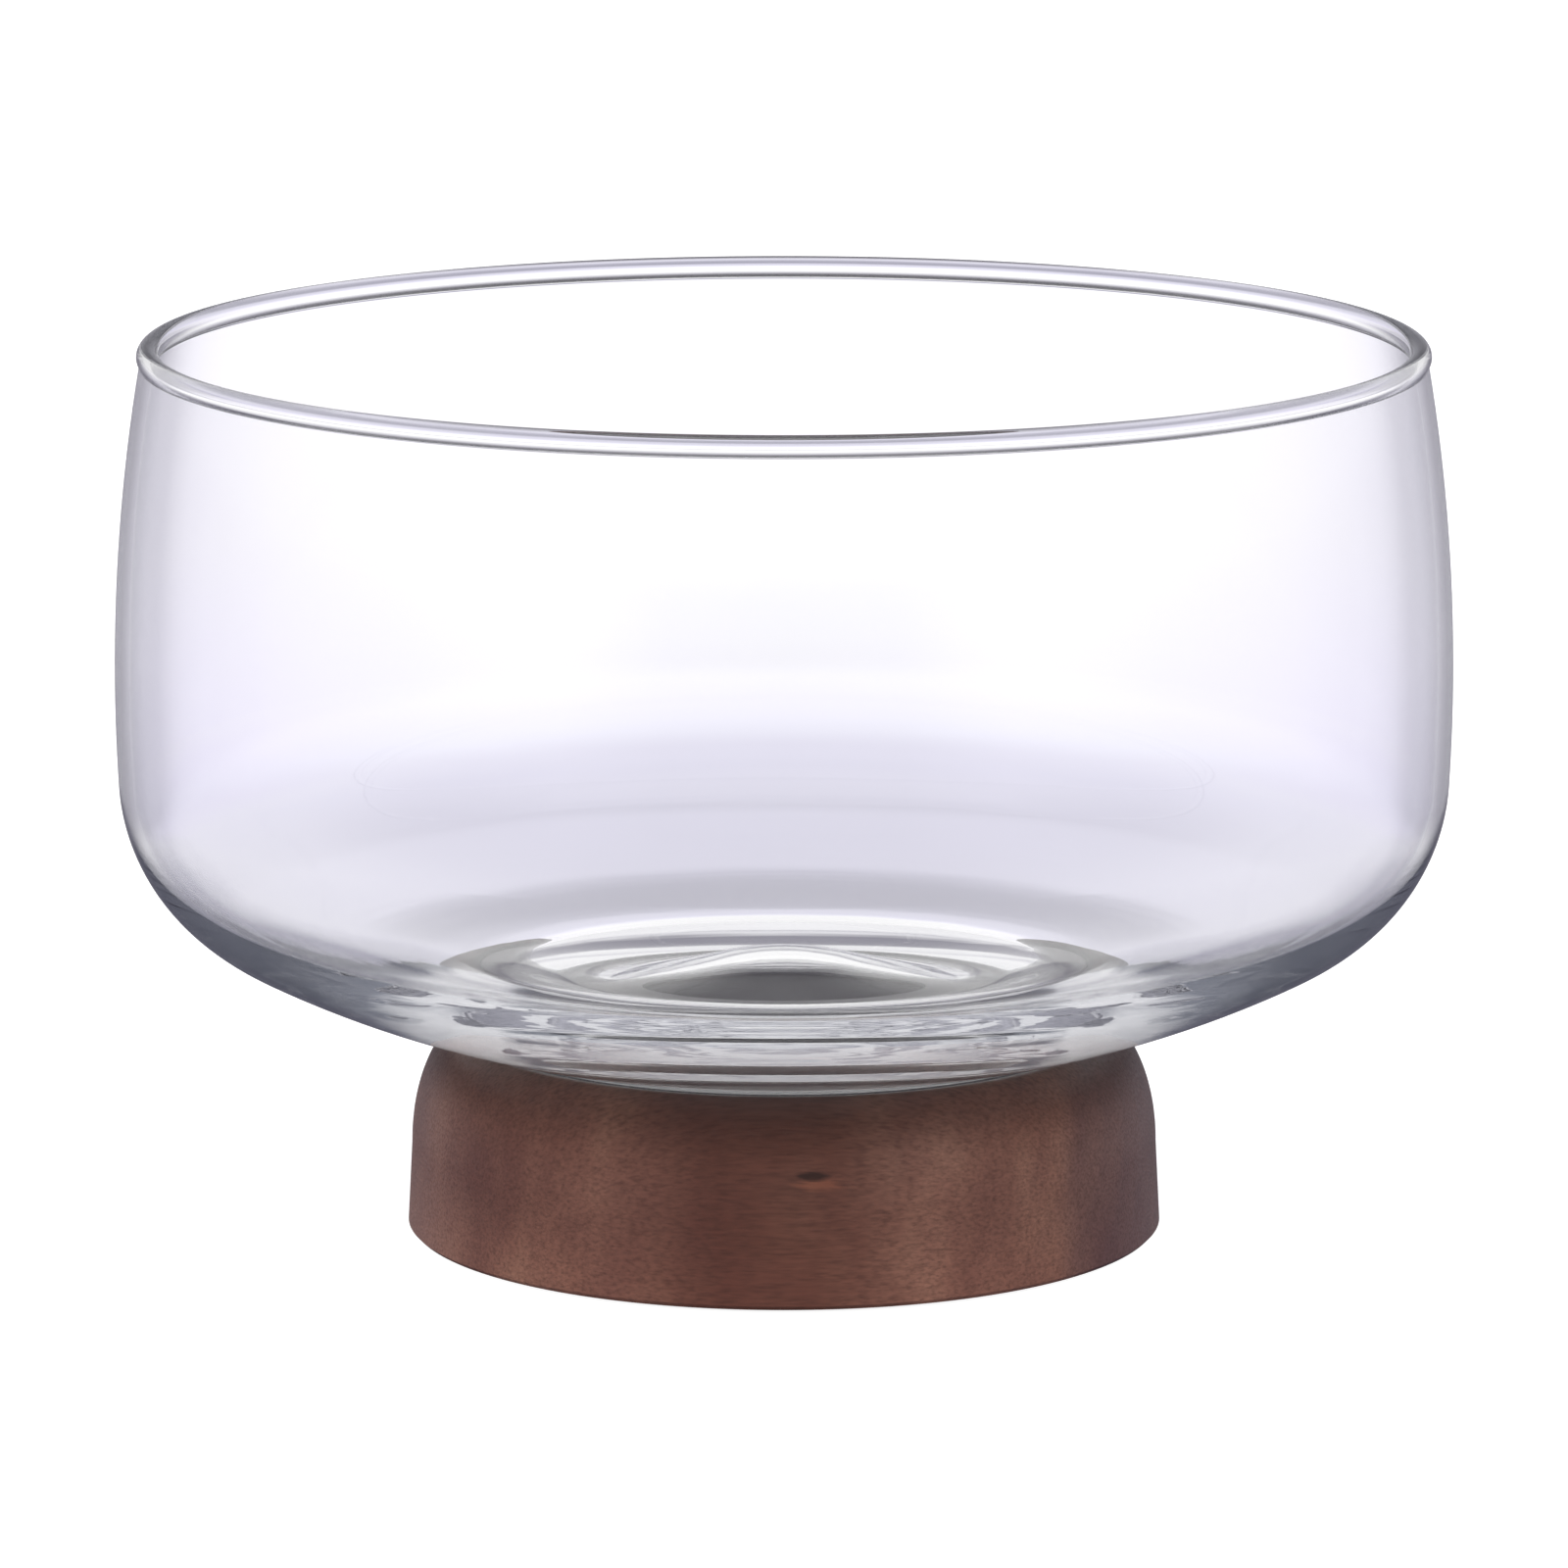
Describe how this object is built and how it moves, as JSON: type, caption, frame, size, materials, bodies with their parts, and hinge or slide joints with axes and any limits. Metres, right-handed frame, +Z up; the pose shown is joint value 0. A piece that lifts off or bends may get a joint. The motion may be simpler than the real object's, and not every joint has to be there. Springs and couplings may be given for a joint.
{
  "type": "fruit bowl",
  "caption": "Clear glass bowl with a rolled rim and a thick pushed-up floor, standing loose in the dished seat of a turned wooden base; holds fruit on a table.",
  "frame": {"origin": "centre of the plane that the foot pads rest on", "axes": "+Z up along the common axis of the bowl and the base; X and Y run between the foot pads"},
  "size_m": [0.2502, 0.2502, 0.169],
  "materials": {
    "clear_glass": "fire-polished, clear",
    "oiled_wood": "oiled, satin",
    "dark_silicone": "matt"
  },
  "bodies": {
    "base": {"wood_base": "oiled_wood", "seat_pad": "dark_silicone", "foot_pad_1": "dark_silicone", "foot_pad_2": "dark_silicone", "foot_pad_3": "dark_silicone", "foot_pad_4": "dark_silicone"},
    "bowl": {"glass_bowl": "clear_glass"}
  },
  "joints": [
    {"name": "bowl_lift", "type": "slide", "parent": "base", "child": "bowl", "axis": [0, 0, 1], "range_m": [0, 0.08]}
  ]
}
